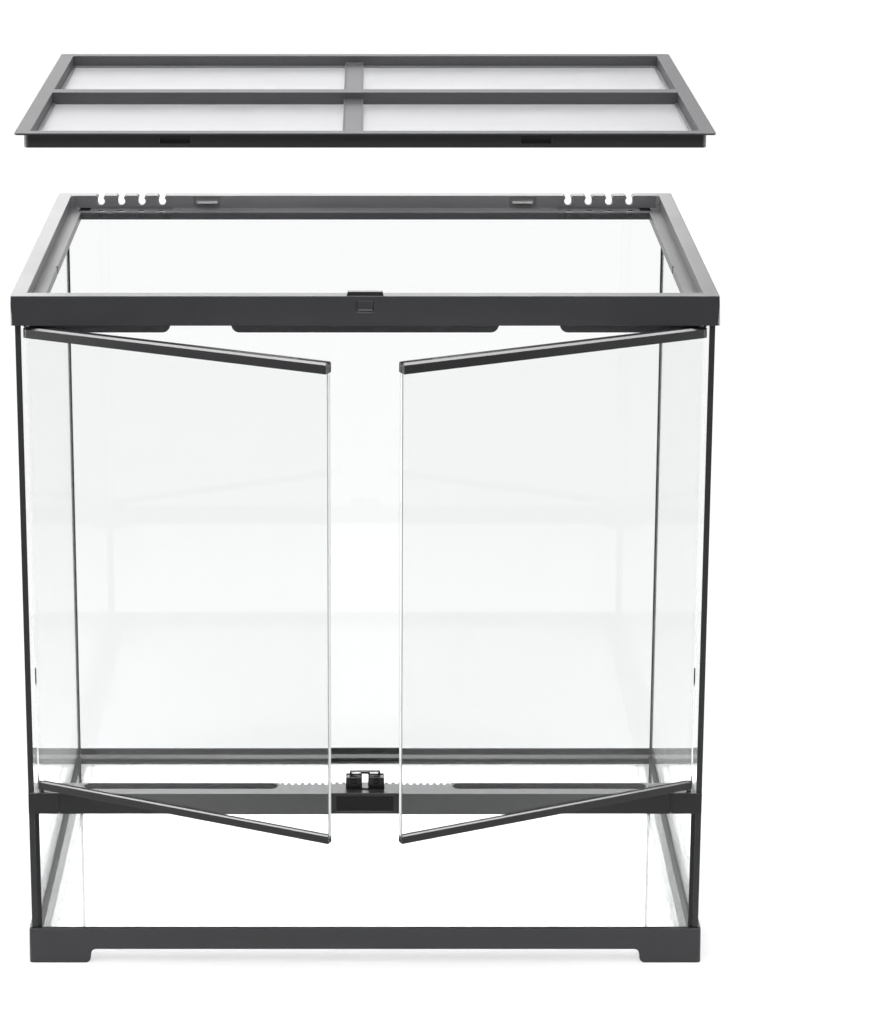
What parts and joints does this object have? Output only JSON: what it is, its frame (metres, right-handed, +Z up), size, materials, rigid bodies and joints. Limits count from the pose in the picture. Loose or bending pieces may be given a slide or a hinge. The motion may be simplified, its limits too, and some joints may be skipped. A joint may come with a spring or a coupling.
{
  "type": "reptile terrarium",
  "caption": "Front-opening glass reptile terrarium with two hinged doors, a lift-off screen lid, a middle rail with vents and a door catch, cable inlets and a footed base",
  "frame": {"origin": "on the floor, under the middle of the base", "axes": "+X to the right as seen from the doors, +Y from the doors to the rear pane, +Z up"},
  "size_m": [0.604, 0.5757, 0.7516],
  "materials": {
    "frame_plastic": "black moulded ABS with a fine satin grain",
    "lid_plastic": "black moulded ABS, satin",
    "retainer_plastic": "dark grey clip-in strip, satin",
    "gloss_black_plastic": "black acetal, smoother than the frame",
    "edge_trim": "thin black edge trim",
    "tank_glass": "clear float glass with polished edges, faintly green",
    "door_glass": "clear float glass, 4 mm, polished edges",
    "black_silicone": "black silicone sealant, soft gloss",
    "pivot_steel": "bright drawn steel",
    "screen_wire": "woven wire screen, grey",
    "vent_mesh": "black woven wire strip"
  },
  "bodies": {
    "tank": {"base_frame": "frame_plastic", "base_seal": "black_silicone", "floor_pane": "tank_glass", "floor_seal": "black_silicone", "rear_pane": "tank_glass", "left_pane": "tank_glass", "right_pane": "tank_glass", "front_pane": "tank_glass", "rear_seals": "black_silicone", "front_seals": "black_silicone", "left_edge_strip": "edge_trim", "right_edge_strip": "edge_trim", "middle_rail": "frame_plastic", "left_hinge_block": "frame_plastic", "right_hinge_block": "frame_plastic", "left_vent_mesh": "vent_mesh", "right_vent_mesh": "vent_mesh", "lock_housing": "gloss_black_plastic", "top_frame": "frame_plastic"},
    "left_door": {"left_door_glass": "door_glass", "left_door_top_profile": "frame_plastic", "left_door_bottom_channel": "frame_plastic", "left_door_top_pin": "pivot_steel", "left_door_bottom_pin": "pivot_steel", "left_door_strike": "pivot_steel"},
    "right_door": {"right_door_glass": "door_glass", "right_door_top_profile": "frame_plastic", "right_door_bottom_channel": "frame_plastic", "right_door_top_pin": "pivot_steel", "right_door_bottom_pin": "pivot_steel", "right_door_strike": "pivot_steel"},
    "lid": {"lid_frame": "lid_plastic", "lid_screen": "screen_wire", "screen_retainer": "retainer_plastic"},
    "lid_latch": {"lid_latch": "gloss_black_plastic"},
    "left_catch": {"left_catch": "gloss_black_plastic"},
    "right_catch": {"right_catch": "gloss_black_plastic"},
    "left_inlet_slider": {"left_inlet_slider": "frame_plastic"},
    "right_inlet_slider": {"right_inlet_slider": "frame_plastic"}
  },
  "joints": [
    {"name": "left_door_hinge", "type": "hinge", "parent": "tank", "child": "left_door", "pos_m": [-0.2866, -0.219, 0.37], "axis": [0, 0, -1], "range_deg": [-26, 69]},
    {"name": "right_door_hinge", "type": "hinge", "parent": "tank", "child": "right_door", "pos_m": [0.2866, -0.219, 0.37], "axis": [0, 0, 1], "range_deg": [-26, 69]},
    {"name": "lid_lift", "type": "slide", "parent": "tank", "child": "lid", "axis": [0, 0, 1], "range_m": [-0.137, 0.1]},
    {"name": "lid_latch_slide", "type": "slide", "parent": "tank", "child": "lid_latch", "axis": [0, 1, 0], "range_m": [0, 0.002]},
    {"name": "left_catch_press", "type": "slide", "parent": "tank", "child": "left_catch", "axis": [0, 1, 0], "range_m": [0, 0.002], "stiffness_N_per_m": 400, "springref_m": -0.001},
    {"name": "right_catch_press", "type": "slide", "parent": "tank", "child": "right_catch", "axis": [0, 1, 0], "range_m": [0, 0.002], "stiffness_N_per_m": 400, "springref_m": -0.001},
    {"name": "left_inlet_slide", "type": "slide", "parent": "tank", "child": "left_inlet_slider", "axis": [-1, 0, 0], "range_m": [0, 0.01]},
    {"name": "right_inlet_slide", "type": "slide", "parent": "tank", "child": "right_inlet_slider", "axis": [1, 0, 0], "range_m": [0, 0.01]}
  ]
}
